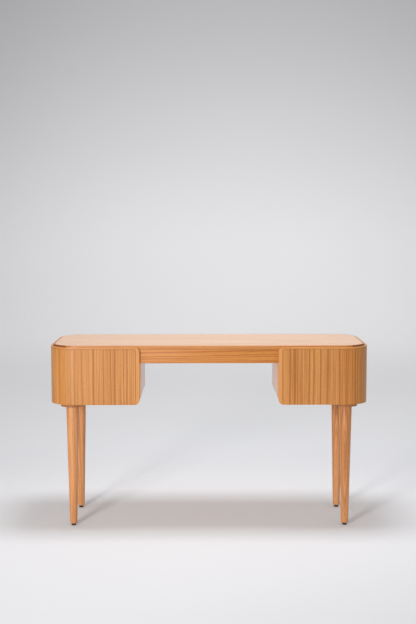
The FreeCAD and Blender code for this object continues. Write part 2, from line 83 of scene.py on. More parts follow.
@dataclass(frozen=True)
class WoodFinish:
    """Colour, figure and lacquer of one kind of wood surface.

    The figure is a cut through yearly rings: across and heart place the tree's heart line beside and
    behind the surface, and lean tilts it along the grain, which opens the rings into long arches.
    """

    name: str
    pale: Colour
    mid: Colour
    dark: Colour
    axis: GrainAxis = GrainAxis.ATTRIBUTE
    rings: float = 130.0
    ring_contrast: float = 0.55
    across: float = 0.6
    heart: float = 0.03
    lean: float = 0.0
    warp: float = 0.010
    ripple: float = 0.0008
    streaks: float = 0.30
    pores: float = 0.45
    pore_length: float = 0.010
    roughness: float = 0.40
    coat: float = 0.20
    coat_roughness: float = 0.22
    bump: float = 0.25

    def build(self) -> bpy.types.Material:
        """Makes the material, or returns it if it was made before.

        Returns:
            The procedural wood material of this finish.
        """
        if self.name in MADE:
            return MADE[self.name]
        graph = Graph(self.name)
        along, across, depth = graph.split(self.coordinates(graph))
        place = graph.join(along, across, depth)
        side = graph.math("ADD", across, self.across)
        for reach, stretch in ((self.warp, (1.3, 7.0, 7.0)), (self.ripple, (11.0, 60.0, 60.0))):
            wander = graph.math("SUBTRACT", graph.noise(place, stretch, detail=2.0), 0.5)
            side = graph.math("ADD", side, graph.math("MULTIPLY", wander, reach * 2))
        behind = graph.math("ADD", graph.math("MULTIPLY", along, self.lean), self.heart)
        behind = graph.math("ADD", behind, depth)
        square = graph.math("ADD", graph.math("POWER", side, 2.0), graph.math("POWER", behind, 2.0))
        radius = graph.math("SQRT", square, 0.0)
        broad = graph.noise(place, (0.7, 9.0, 9.0), detail=2.0)
        ring = graph.noise_line(graph.math("MULTIPLY", radius, self.rings), detail=3.0)
        streak = graph.noise(place, (3.0, 190.0, 190.0), detail=5.0)
        hair = graph.noise(place, (22.0, 1500.0, 1500.0), detail=2.0)
        pore_size = (0.7 / self.pore_length, 2100.0, 2100.0)
        pore = graph.ramp(graph.noise(place, pore_size, detail=1.0), 0.60, 0.70)

        tone = graph.mix(graph.ramp(broad, 0.30, 0.72), self.pale, self.mid)
        ring_mask = graph.math("MULTIPLY", graph.ramp(ring, 0.44, 0.70), self.ring_contrast)
        tone = graph.mix(ring_mask, tone, self.dark)
        streak_mask = graph.math("MULTIPLY", graph.ramp(streak, 0.44, 0.72), self.streaks)
        tone = graph.mix(streak_mask, tone, self.dark)
        light_mask = graph.math("MULTIPLY", graph.ramp(hair, 0.55, 0.85), self.streaks * 0.6)
        tone = graph.mix(light_mask, tone, self.pale)
        pore_mask = graph.math("MULTIPLY", pore, self.pores)
        deep = tuple(channel * 0.45 for channel in self.dark)
        tone = graph.mix(pore_mask, tone, deep)

        smudge = graph.noise(place, (3.0, 9.0, 9.0), detail=3.0)
        rough = graph.math("ADD", graph.math("MULTIPLY", smudge, 0.12), self.roughness - 0.06)
        rough = graph.math("ADD", rough, graph.math("MULTIPLY", pore_mask, 0.25))
        height = graph.math("SUBTRACT", graph.math("MULTIPLY", streak, 0.35), pore_mask)
        graph.surface(
            base=tone,
            rough=rough,
            bump=graph.bump(height, self.bump, 0.00025),
            settings={"Coat Weight": self.coat, "Coat Roughness": self.coat_roughness, "IOR": 1.48},
        )
        return graph.material

    def coordinates(self, graph: "Graph") -> bpy.types.NodeSocket:
        """Finds the (along, across, depth) place in the wood.

        Args:
            graph: The node graph under work.

        Returns:
            A vector socket in metres.
        """
        if self.axis is GrainAxis.ATTRIBUTE:
            node = graph.add("ShaderNodeAttribute")
            node.attribute_name = GRAIN
            return node.outputs["Vector"]
        x, y, z = graph.split(graph.add("ShaderNodeTexCoord").outputs["Object"])
        orders = {
            GrainAxis.ALONG_X: (x, y, z),
            GrainAxis.ALONG_Y: (y, x, z),
            GrainAxis.ALONG_Z: (z, x, y),
        }
        return graph.join(*orders[self.axis])


@dataclass(frozen=True)
class HardFinish:
    """Metal or moulded plastic with fine scratches and uneven gloss."""

    name: str
    colour: Colour
    worn: Colour
    metallic: float
    roughness: float
    speckle: float = 400.0

    def build(self) -> bpy.types.Material:
        """Makes the material, or returns it if it was made before.

        Returns:
            The procedural material of this finish.
        """
        if self.name in MADE:
            return MADE[self.name]
        graph = Graph(self.name)
        place = graph.add("ShaderNodeTexCoord").outputs["Object"]
        cloud = graph.noise(place, (60.0, 60.0, 60.0), detail=3.0)
        fine = graph.noise(place, (self.speckle,) * 3, detail=2.0)
        tone = graph.mix(graph.ramp(cloud, 0.45, 0.75), self.colour, self.worn)
        rough = graph.math("ADD", graph.math("MULTIPLY", fine, 0.2), self.roughness - 0.1)
        graph.surface(
            base=tone,
            rough=rough,
            bump=graph.bump(fine, 0.15, 0.0001),
            settings={"Metallic": self.metallic},
        )
        return graph.material


class Graph:
    """Small helper that lays out a material's nodes."""

    def __init__(self, name: str) -> None:
        """Starts an empty material.

        Args:
            name: The material's name.
        """
        self.material = bpy.data.materials.new(name + "_finish")
        self.material.use_nodes = True
        MADE[name] = self.material
        self.tree = self.material.node_tree
        self.tree.nodes.clear()

    def add(self, kind: str) -> bpy.types.Node:
        """Adds one node of a kind and returns it."""
        return self.tree.nodes.new(kind)

    def feed(self, socket: bpy.types.NodeSocket, value: object) -> None:
        """Links or sets an input.

        Args:
            socket: The input socket.
            value: Another node's output, a number, or a colour of three channels.
        """
        if isinstance(value, bpy.types.NodeSocket):
            self.tree.links.new(value, socket)
        elif isinstance(value, tuple) and len(socket.default_value) == 4:
            socket.default_value = (*value, 1.0)
        else:
            socket.default_value = value

    def split(self, vector: bpy.types.NodeSocket) -> tuple:
        """Splits a vector into its three numbers."""
        node = self.add("ShaderNodeSeparateXYZ")
        self.feed(node.inputs[0], vector)
        return tuple(node.outputs)

    def join(self, x: object, y: object, z: object) -> bpy.types.NodeSocket:
        """Joins three numbers into a vector."""
        node = self.add("ShaderNodeCombineXYZ")
        for socket, value in zip(node.inputs, (x, y, z)):
            self.feed(socket, value)
        return node.outputs[0]

    def math(self, operation: str, a: object, b: object) -> bpy.types.NodeSocket:
        """Does one sum on two numbers.

        Args:
            operation: The math node's operation.
            a: First number or socket.
            b: Second number or socket.

        Returns:
            The result socket.
        """
        node = self.add("ShaderNodeMath")
        node.operation = operation
        self.feed(node.inputs[0], a)
        self.feed(node.inputs[1], b)
        return node.outputs[0]

    def noise(self, vector: object, stretch: Point, detail: float) -> bpy.types.NodeSocket:
        """Noise whose grains are stretched along the axes.

        Args:
            vector: Where the pattern is read.
            stretch: Grains per metre along each axis.
            detail: Octaves of finer noise.

        Returns:
            A number from 0 to 1.
        """
        mapping = self.add("ShaderNodeMapping")
        self.feed(mapping.inputs["Vector"], vector)
        mapping.inputs["Scale"].default_value = stretch
        node = self.add("ShaderNodeTexNoise")
        self.feed(node.inputs["Vector"], mapping.outputs[0])
        node.inputs["Scale"].default_value = 1.0
        node.inputs["Detail"].default_value = detail
        return node.outputs[0]

    def noise_line(self, place: object, detail: float) -> bpy.types.NodeSocket:
        """Noise along a single number.

        Args:
            place: The number that the noise runs along.
            detail: Octaves of finer noise.

        Returns:
            A number from 0 to 1.
        """
        node = self.add("ShaderNodeTexNoise")
        node.noise_dimensions = "1D"
        self.feed(node.inputs["W"], place)
        node.inputs["Scale"].default_value = 1.0
        node.inputs["Detail"].default_value = detail
        node.inputs["Roughness"].default_value = 0.6
        return node.outputs[0]

    def ramp(self, value: object, low: float, high: float) -> bpy.types.NodeSocket:
        """Stretches a number so that low becomes 0 and high becomes 1, smoothly."""
        node = self.add("ShaderNodeMapRange")
        node.interpolation_type = "SMOOTHSTEP"
        self.feed(node.inputs["Value"], value)
        node.inputs["From Min"].default_value = low
        node.inputs["From Max"].default_value = high
        return node.outputs[0]

    def mix(self, share: object, a: object, b: object) -> bpy.types.NodeSocket:
        """Mixes two colours.

        Args:
            share: How much of the second colour, from 0 to 1.
            a: First colour.
            b: Second colour.

        Returns:
            The mixed colour.
        """
        node = self.add("ShaderNodeMix")
        node.data_type = "RGBA"
        self.feed(node.inputs["Factor"], share)
        self.feed(node.inputs[6], a)
        self.feed(node.inputs[7], b)
        return node.outputs[2]

    def bump(self, height: object, strength: float, distance: float) -> bpy.types.NodeSocket:
        """Turns a height into a surface normal.

        Args:
            height: The height pattern.
            strength: How strongly it shows.
            distance: Height in metres of a full step.

        Returns:
            The normal socket.
        """
        node = self.add("ShaderNodeBump")
        self.feed(node.inputs["Height"], height)
        node.inputs["Strength"].default_value = strength
        node.inputs["Distance"].default_value = distance
        return node.outputs[0]

    def surface(
        self, base: object, rough: object, bump: object, settings: dict[str, float], glow: object = None,
    ) -> None:
        """Ends the graph in a principled surface.

        Args:
            base: Base colour.
            rough: Roughness.
            bump: Normal from a bump node.
            settings: Plain numbers for the shader's own sockets.
            glow: Colour of the surface's own light, if it has any.
        """
        shader = self.add("ShaderNodeBsdfPrincipled")
        if glow:
            self.feed(shader.inputs["Emission Color"], glow)
        self.feed(shader.inputs["Base Color"], base)
        self.feed(shader.inputs["Roughness"], rough)
        self.feed(shader.inputs["Normal"], bump)
        for socket, value in settings.items():
            shader.inputs[socket].default_value = value
        output = self.add("ShaderNodeOutputMaterial")
        self.feed(output.inputs["Surface"], shader.outputs[0])


FRONT_VENEER = WoodFinish(
    "front_veneer", pale=(0.63, 0.28, 0.075), mid=(0.525, 0.199, 0.038), dark=(0.35, 0.11, 0.009),
    rings=105.0, ring_contrast=0.88, across=0.75, heart=0.05, lean=0.02, warp=0.004, ripple=0.0012,
    streaks=0.7, coat=0.06,
)
TOP_VENEER = WoodFinish(
    "top_veneer", pale=(0.92, 0.5, 0.245), mid=(0.87, 0.45, 0.205), dark=(0.69, 0.31, 0.11),
    rings=230.0, ring_contrast=0.45, across=0.05, heart=0.04, lean=0.014, warp=0.006,
    roughness=0.33, coat=0.65, coat_roughness=0.16,
)
APRON_VENEER = WoodFinish(
    "apron_veneer", pale=(0.68, 0.278, 0.058), mid=(0.575, 0.206, 0.034), dark=(0.36, 0.1, 0.009),
    rings=170.0, ring_contrast=0.75, across=0.35, heart=0.03, lean=0.06, warp=0.006, ripple=0.003,
    streaks=0.5, coat=0.06,
)
CASE_VENEER = WoodFinish(
    "case_veneer", pale=(0.8, 0.38, 0.14), mid=(0.72, 0.325, 0.11), dark=(0.48, 0.18, 0.045),
    rings=100.0, ring_contrast=0.4, across=0.5, heart=0.04, lean=0.03, warp=0.008,
    roughness=0.3, coat=0.48, coat_roughness=0.14,
)
LEG_TEAK = WoodFinish(
    "leg_teak", pale=(0.76, 0.36, 0.15), mid=(0.63, 0.262, 0.086), dark=(0.34, 0.11, 0.015),
    rings=110.0, ring_contrast=0.85, across=0.02, heart=0.022, lean=0.05, warp=0.004,
    streaks=0.55, roughness=0.44, coat=0.06,
)
# Painted shade: a darker copy of the solid teak for the leg rails, which sit in shade under the pedestals.
PAINTED_SHADE_RAIL_TEAK = WoodFinish(
    "rail_teak_painted_shade", pale=(0.44, 0.18, 0.055), mid=(0.37, 0.14, 0.038), dark=(0.24, 0.075, 0.015),
    rings=140.0, ring_contrast=0.45, across=0.1, heart=0.06, lean=0.02, warp=0.006, coat=0.1,
)
LIPPING_TEAK = WoodFinish(
    "lipping_teak", pale=(0.62, 0.265, 0.073), mid=(0.55, 0.217, 0.052), dark=(0.344, 0.104, 0.0175),
    rings=180.0, ring_contrast=0.35, across=0.3, heart=0.05, warp=0.004, pores=0.4, coat=0.1,
)
# Painted light: a lighter copy of the lipping teak, which stands in for the light on the drawer fronts'
# lippings beside the shaded top band.
PAINTED_LIGHT_SHELL_LIPPING = replace(
    LIPPING_TEAK, name="shell_lipping_painted_light", pale=(0.68, 0.297, 0.082), mid=(0.6, 0.242, 0.058),
    dark=(0.4, 0.125, 0.018),
)
# Painted shade: a darker copy of the lipping teak for the front corners of the top's edge band, which lie
# in shade above the drawer fronts.
PAINTED_SHADE_CORNER_TEAK = replace(
    LIPPING_TEAK, name="corner_painted_shade_teak", pale=(0.30, 0.10, 0.014), mid=(0.24, 0.075, 0.009),
    dark=(0.14, 0.04, 0.004), pores=0.6,
)
BEECH_X = WoodFinish(
    "beech_along_x", pale=(0.74, 0.53, 0.33), mid=(0.68, 0.46, 0.27), dark=(0.48, 0.29, 0.15),
    axis=GrainAxis.ALONG_X, rings=200.0, ring_contrast=0.25, streaks=0.25, pores=0.3,
    pore_length=0.003, roughness=0.55, coat=0.05,
)
BEECH_Y = replace(BEECH_X, name="beech_along_y", axis=GrainAxis.ALONG_Y)
PLY_X = WoodFinish(
    "plywood_along_x", pale=(0.72, 0.52, 0.33), mid=(0.65, 0.45, 0.27), dark=(0.46, 0.28, 0.14),
    axis=GrainAxis.ALONG_X, rings=70.0, ring_contrast=0.45, across=0.05, heart=0.02, lean=0.05,
    warp=0.03, pores=0.2, roughness=0.6, coat=0.0,
)
PLY_Z = replace(
    PLY_X, name="plywood_along_z", pale=(0.7, 0.42, 0.2), mid=(0.62, 0.345, 0.145),
    dark=(0.42, 0.19, 0.065), axis=GrainAxis.ALONG_Z, across=0.35,
)
ZINC_STEEL = HardFinish("zinc_steel", (0.52, 0.51, 0.48), (0.36, 0.34, 0.30), 1.0, 0.38, 900.0)
BLACK_GLIDE = HardFinish("black_glide", (0.020, 0.017, 0.015), (0.060, 0.052, 0.046), 0.0, 0.45)

Finish = WoodFinish | HardFinish


# ------------------------------------------------------------------ the bench: shaping by operators


class Piece:
    """One mesh on the bench, shaped by operators as by hand."""

    def __init__(self, obj: bpy.types.Object) -> None:
        """Takes an object onto the bench.

        Args:
            obj: The mesh object.
        """
        self.obj = obj

    @classmethod
    def block(cls, name: str, low: Iterable[float], high: Iterable[float]) -> "Piece":
        """Adds a rectangular blank between two corners.

        Args:
            name: The piece's name.
            low: Lowest corner.
            high: Highest corner.

        Returns:
            The new piece.
        """
        cls.clear()
        low, high = Vector(low), Vector(high)
        bpy.ops.mesh.primitive_cube_add(size=1.0, location=(low + high) / 2, scale=high - low)
        return cls.named(name)

    @classmethod
    def cone(cls, name: str, centre: Point, foot: float, head: float, height: float, sides: int) -> "Piece":
        """Adds a round tapered blank that stands on a point.

        Args:
            name: The piece's name.
            centre: Middle of its lower end.
            foot: Radius at the lower end.
            head: Radius at the upper end.
            height: Its height.
            sides: Faces round it.

        Returns:
            The new piece.
        """
        cls.clear()
        middle = (centre[0], centre[1], centre[2] + height / 2)
        bpy.ops.mesh.primitive_cone_add(
            vertices=sides, radius1=foot, radius2=head, depth=height, location=middle, end_fill_type="NGON",
        )
        return cls.named(name)

    @classmethod
    def named(cls, name: str) -> "Piece":
        """Names the object just added and settles its place into its mesh."""
        obj = bpy.context.active_object
        obj.name = name
        obj.data.name = name
        bpy.ops.object.transform_apply(location=True, rotation=True, scale=True)
        return cls(obj)

    @staticmethod
    def clear() -> None:
        """Leaves edit mode and deselects everything."""
        if bpy.context.mode != "OBJECT":
            bpy.ops.object.mode_set(mode="OBJECT")
        bpy.ops.object.select_all(action="DESELECT")

    def edit(self, mode: str) -> bmesh.types.BMesh:
        """Opens the mesh for editing with nothing selected.

        Args:
            mode: VERT, EDGE or FACE.

        Returns:
            The edit mesh.
        """
        self.clear()
        self.obj.select_set(True)
        bpy.context.view_layer.objects.active = self.obj
        bpy.ops.object.mode_set(mode="EDIT")
        bpy.ops.mesh.select_mode(type=mode)
        bpy.ops.mesh.select_all(action="DESELECT")
        return bmesh.from_edit_mesh(self.obj.data)

    def pick_edges(self, test: Test) -> int:
        """Selects edges by place.

        Args:
            test: Says yes to an edge's (middle, unit direction).

        Returns:
            How many were selected.
        """
        mesh = self.edit("EDGE")
        count = 0
        for edge in mesh.edges:
            a, b = (corner.co for corner in edge.verts)
            if test((a + b) / 2, (b - a).normalized()):
                edge.select_set(True)
                count += 1
        bmesh.update_edit_mesh(self.obj.data)
        return count

    def pick_faces(self, test: Test) -> int:
        """Selects faces by place.

        Args:
            test: Says yes to a face's (middle, normal).

        Returns:
            How many were selected.
        """
        mesh = self.edit("FACE")
        count = 0
        for face in mesh.faces:
            if test(face.calc_center_median(), face.normal):
                face.select_set(True)
                count += 1
        bmesh.update_edit_mesh(self.obj.data)
        return count

    def bevel(self, test: Test, width: float, segments: int) -> "Piece":
        """Rounds edges.

        Args:
            test: Picks the edges.
            width: Radius of the round.
            segments: Facets across it.

        Returns:
            This piece.
        """
        if self.pick_edges(test):
            bpy.ops.mesh.bevel(
                offset=width, segments=segments, profile=0.5, affect="EDGES", clamp_overlap=True
            )
        self.clear()
        return self

    def inset(self, test: Test, width: float, depth: float = 0.0) -> "Piece":
        """Insets faces, and sinks them where depth is negative.

        Args:
            test: Picks the faces.
            width: Width of the new border.
            depth: How far the faces move along their normal.

        Returns:
            This piece.
        """
        if self.pick_faces(test):
            bpy.ops.mesh.inset(thickness=width, depth=depth, use_even_offset=True)
        self.clear()
        return self

    def bisect(self, point: Iterable[float], normal: Iterable[float], keep: str = "both") -> "Piece":
        """Saws the piece along a plane.

        Args:
            point: A point of the plane.
            normal: The plane's normal.
            keep: both, behind or ahead of the plane.

        Returns:
            This piece.
        """
        self.edit("VERT")
        bpy.ops.mesh.select_all(action="SELECT")
        bpy.ops.mesh.bisect(
            plane_co=tuple(point), plane_no=tuple(normal), use_fill=keep != "both",
            clear_outer=keep == "behind", clear_inner=keep == "ahead",
        )
        self.clear()
        return self

    def copy(self, name: str) -> "Piece":
        """Makes a twin with its own mesh."""
        twin = self.obj.copy()
        twin.data = self.obj.data.copy()
        twin.name = name
        twin.data.name = name
        bpy.context.scene.collection.objects.link(twin)
        return Piece(twin)

    def mirrored(self, name: str) -> "Piece":
        """Makes the right-hand twin.

        Args:
            name: The twin's name.

        Returns:
            The twin, right side out.
        """
        twin = self.copy(name)
        twin.edit("VERT")
        bpy.ops.mesh.select_all(action="SELECT")
        bpy.ops.transform.resize(value=(-1, 1, 1), center_override=(0, 0, 0))
        bpy.ops.mesh.flip_normals()
        twin.clear()
        return twin

    def modify(self, kind: str, **settings: object) -> "Piece":
        """Adds a modifier and applies it.

        Args:
            kind: The modifier's type.
            settings: Its settings.

        Returns:
            This piece.
        """
        self.clear()
        self.obj.select_set(True)
        bpy.context.view_layer.objects.active = self.obj
        modifier = self.obj.modifiers.new(kind.title(), kind)
        for key, value in settings.items():
            setattr(modifier, key, value)
        bpy.ops.object.modifier_apply(modifier=modifier.name)
        return self

    def cut(self, tool: "Piece", operation: str = "DIFFERENCE") -> "Piece":
        """Takes another piece's room out of this one, or keeps only what they share."""
        return self.modify("BOOLEAN", object=tool.obj, operation=operation, solver="EXACT")

    def close(self) -> "Piece":
        """Merges doubles and turns every face outwards."""
        self.edit("VERT")
        bpy.ops.mesh.select_all(action="SELECT")
        bpy.ops.mesh.remove_doubles(threshold=HAIR)
        bpy.ops.mesh.normals_make_consistent(inside=False)
        self.clear()
        return self

    def smooth(self, degrees: float = 32.0) -> "Piece":
        """Shades smooth, with edges sharper than an angle kept crisp."""
        self.clear()
        self.obj.select_set(True)
        bpy.context.view_layer.objects.active = self.obj
        bpy.ops.object.shade_smooth_by_angle(angle=math.radians(degrees))
        return self

    def scrap(self) -> None:
        """Removes a tool that is no longer needed."""
        bpy.data.objects.remove(self.obj, do_unlink=True)

    def grain(self, layout: "GrainLayout") -> "Piece":
        """Writes where each point lies in its wood."""
        layout.write(self.obj.data)
        return self

    def dress(self, finish: Finish) -> "Piece":
        """Gives the whole piece one finish."""
        self.obj.data.materials.clear()
        self.obj.data.materials.append(finish.build())
        return self

    def dress_faces(self, finish: Finish, test: Test) -> "Piece":
        """Gives some faces a second finish.

        Args:
            finish: Their finish.
            test: Picks the faces.

        Returns:
            This piece.
        """
        self.obj.data.materials.append(finish.build())
        index = len(self.obj.data.materials) - 1
        for face in self.obj.data.polygons:
            if test(Vector(face.center), Vector(face.normal)):
                face.material_index = index
        return self

    def hand_over(self, body: str, slot: str, *nodes: str) -> None:
        """Joins the finished piece to its body and reports it.

        Args:
            body: The CAD body that it rides on.
            slot: Not used.
            nodes: The CAD nodes that it stands for.
        """
        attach(self.obj, body)
        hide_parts(*nodes)
        faces = len(self.obj.data.polygons)
        LOG.info("%s: %d faces on %s, for %s", self.obj.name, faces, body, ", ".join(nodes))


def upright(middle: Vector, direction: Vector) -> bool:
    """Says yes to an upright edge."""
    return abs(direction.z) > 0.99


def level_at(height: float) -> Test:
    """Makes a test that picks the level edges at one height."""
    return lambda middle, direction: abs(direction.z) < 0.01 and abs(middle.z - height) < TOUCH


# ------------------------------------------------------------------ how the grain lies in a piece


@dataclass(frozen=True)
class PlanPath:
    """A line seen from above that wood follows round a bend."""

    points: tuple[tuple[float, float], ...]

    @classmethod
    def rounded(cls, corners: list[tuple[float, float]], radii: list[float], steps: int = 24) -> "PlanPath":
        """Draws a line through corners, each rounded by a quarter circle or straight-ended.

        Args:
            corners: The line's points.
            radii: Radius at each point, 0 at a plain one.
            steps: Chords in each round.

        Returns:
            The path.
        """
        drawn: list[tuple[float, float]] = []
        for index, (corner, radius) in enumerate(zip(corners, radii)):
            here = Vector(corner)
            if radius <= 0:
                drawn.append(tuple(here))
                continue
            back = (Vector(corners[index - 1]) - here).normalized()
            ahead = (Vector(corners[index + 1]) - here).normalized()
            centre = here + (back + ahead) * radius
            for step in range(steps + 1):
                turn = math.pi / 2 * step / steps
                spoke = -ahead * math.cos(turn) - back * math.sin(turn)
                drawn.append(tuple(centre + spoke * radius))
        return cls(tuple(drawn))

    def locate(self, places: np.ndarray) -> tuple[np.ndarray, np.ndarray]:
        """Finds how far along and how far beside the path places lie.

        Args:
            places: N by 2 array of plan positions.

        Returns:
            Distance along the path and distance beside it.
        """
        line = np.array(self.points)
        start, span = line[:-1], np.diff(line, axis=0)
        length = np.linalg.norm(span, axis=1)
        begin = np.concatenate(([0.0], np.cumsum(length)[:-1]))
        offset = places[:, None, :] - start[None]
        share = np.clip((offset * span[None]).sum(2) / (length**2)[None], 0, 1)
        gap = offset - share[..., None] * span[None]
        distance = np.linalg.norm(gap, axis=2)
        best = distance.argmin(1)
        rows = np.arange(len(places))
        turn = span[best, 0] * gap[rows, best, 1] - span[best, 1] * gap[rows, best, 0]
        return begin[best] + share[rows, best] * length[best], np.sign(turn) * distance[rows, best]


@dataclass(frozen=True)
class GrainLayout:
    """Where a piece was cut from its board: its grain direction and its place in the pattern.

    A path carries the pattern round a bend, fold lays it alike on both sides of the table, and turned
    puts the board's other end up.
    """

    along: str = "x"
    across: str = "y"
    shift: Point = (0.0, 0.0, 0.0)
    path: Optional[PlanPath] = None
    fold: bool = False
    turned: bool = False

    def write(self, mesh: bpy.types.Mesh) -> None:
        """Stores (along, across, depth) on every point of a mesh.

        Args:
            mesh: The finished mesh.
        """
        place = np.empty(len(mesh.vertices) * 3)
        mesh.vertices.foreach_get("co", place)
        place = place.reshape(-1, 3)
        known = {"x": place[:, 0], "y": place[:, 1], "z": place[:, 2]}
        if self.path:
            plan = place[:, :2].copy()
            if self.fold:
                plan[:, 0] = -np.abs(plan[:, 0])
            known["s"], known["o"] = self.path.locate(plan)
        rest = ({"s", "z", "o"} if self.path else {"x", "y", "z"}) - {self.along, self.across}
        columns = [known[key] for key in (self.along, self.across, *sorted(rest)[:1])]
        if self.turned:
            columns[0] = -columns[0]
        values = np.stack(columns, axis=1) + np.array(self.shift)
        layer = mesh.attributes.new(GRAIN, "FLOAT_VECTOR", "POINT")
        layer.data.foreach_set("vector", values.astype(np.float32).ravel())


# ------------------------------------------------------------------ table top and aprons


@dataclass
class TableTop:
    """Thin slab with a veneered field inside a solid edge band."""

    front_corner: float = 105 * MM
    back_corner: float = 90 * MM
    band: float = 6 * MM
    rim: float = 2 * MM
    joint: float = 0.15 * MM

    def build(self) -> None:
        """Makes the band and the field from the slab's box."""
        low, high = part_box("table_top")
        self.build_band(low, high)
        self.build_field(low, high)

    def slab(self, name: str, low: Vector, high: Vector, less: float) -> Piece:
        """Makes a slab with its four plan corners rounded.

        Args:
            name: The piece's name.
            low: Lowest corner of the box.
            high: Highest corner of the box.
            less: How far the outline lies inside the box.

        Returns:
            The slab.
        """
        inner_low = (low.x + less, low.y + less, low.z)
        inner_high = (high.x - less, high.y - less, high.z)
        piece = Piece.block(name, inner_low, inner_high)
        middle, back = (low.y + high.y) / 2, high.y - less - MM
        piece.bevel(lambda m, d: upright(m, d) and m.y < middle, self.front_corner - less, 28)
        return piece.bevel(lambda m, d: upright(m, d) and m.y > back, self.back_corner - less, 24)

    def outline(self, low: Vector, high: Vector) -> PlanPath:
        """Follows the left half of the edge, from the middle of the front to the middle of the back."""
        corners = [(0.0, low.y), (low.x, low.y), (low.x, high.y), (0.0, high.y)]
        return PlanPath.rounded(corners, [0.0, self.front_corner, self.back_corner, 0.0])

    def build_band(self, low: Vector, high: Vector) -> None:
        """Makes the solid strip round the edge."""
        piece = self.slab("top_edge_band", low, high, 0.0)
        past = Vector((0, 0, self.band))
        inner = self.slab("band_tool", low - past, high + past, self.band)
        piece.cut(inner)
        inner.scrap()
        outer = self.outline(low, high)

        def rim(middle: Vector, direction: Vector) -> bool:
            """Picks the level edges of the outer wall."""
            if abs(direction.z) > 0.01 or min(abs(middle.z - low.z), abs(middle.z - high.z)) > TOUCH:
                return False
            plan = np.array([[-abs(middle.x), middle.y]])
            return abs(outer.locate(plan)[1][0]) < 0.3 * MM

        piece.bevel(rim, self.rim, 4)
        piece.bisect((0, 0, 0), (1, 0, 0)).close().smooth()
        piece.grain(GrainLayout("s", "z", (0.0, 0.13, 0.0), outer, fold=True)).dress(LIPPING_TEAK)
        # Painted shade: the band's front corner faces get the darker teak.
        piece.dress_faces(PAINTED_SHADE_CORNER_TEAK, lambda m, n: n.y < -0.1 and abs(n.x) > 0.42 and abs(n.z) < 0.8)
        piece.hand_over(BODY, "solid_teak", "table_top")

    def build_field(self, low: Vector, high: Vector) -> None:
        """Makes the veneered field, its edge eased by a hair so that the joint shows."""
        piece = self.slab("top_field", low, high, self.band + self.joint)
        piece.bevel(level_at(high.z), self.joint, 1)
        piece.close().smooth()
        piece.grain(GrainLayout("x", "y", (0.4, 0.02, 0.0))).dress(TOP_VENEER)
        piece.hand_over(BODY, "top_veneer", "table_top")


@dataclass
class Apron:
    """Board under the top, front or rear."""

    node: str
    shift: Point
    lower_round: float = 3 * MM
    ease: float = 0.4 * MM

    def build(self) -> None:
        """Makes the board from its node's box."""
        low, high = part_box(self.node)
        piece = Piece.block(self.node + "_board", low, high)
        piece.bevel(lambda m, d: abs(d.x) > 0.99 and m.z < low.z + MM, self.lower_round, 5)
        piece.bevel(upright, self.ease, 2)
        piece.close().smooth()
        piece.grain(GrainLayout("x", "z", self.shift)).dress(APRON_VENEER)
        piece.hand_over(BODY, "apron_veneer", self.node)


# ------------------------------------------------------------------ bent drawer fronts


